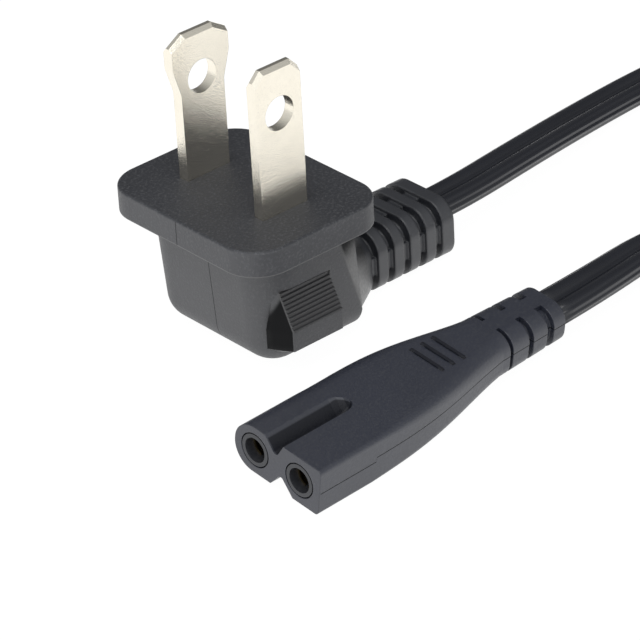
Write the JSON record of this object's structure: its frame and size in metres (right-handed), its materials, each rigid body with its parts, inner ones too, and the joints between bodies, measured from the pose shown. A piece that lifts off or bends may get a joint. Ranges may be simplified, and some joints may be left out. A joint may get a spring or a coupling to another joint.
{
  "type": "type a plug",
  "caption": "Right-angle mains plug with flat blades, the neutral one wider, a thumb grip and a grooved strain relief, on a flat cord with a small figure-eight appliance connector.",
  "frame": {"origin": "midway between the blades on the flange's front face, which meets the socket", "axes": "+Z along the blades towards their tips, +X towards the strain relief, +Y from line to neutral blade"},
  "size_m": [0.1781, 0.0702, 0.0354],
  "materials": {
    "plug_moulding": "fine grained flexible plastic",
    "blade_plating": "bright nickel plate",
    "cord_sheath": "smooth satin",
    "copper_strands": "bare copper",
    "tie_strap": "matte",
    "connector_moulding": "satin",
    "insert_plastic": "smooth",
    "contact_brass": "formed metal"
  },
  "bodies": {
    "root": {"plug_body": "plug_moulding", "line_blade": "blade_plating", "neutral_blade": "blade_plating", "plug_cord_end": "cord_sheath", "plug_line_strands": "copper_strands", "plug_neutral_strands": "copper_strands", "cord_plug_run": "cord_sheath", "cord_coil": "cord_sheath", "coil_tie": "tie_strap", "cord_connector_run": "cord_sheath", "connector_body": "connector_moulding", "contact_insert": "insert_plastic", "line_contact": "contact_brass", "neutral_contact": "contact_brass", "connector_cord_end": "cord_sheath", "connector_line_strands": "copper_strands", "connector_neutral_strands": "copper_strands"}
  },
  "joints": []
}
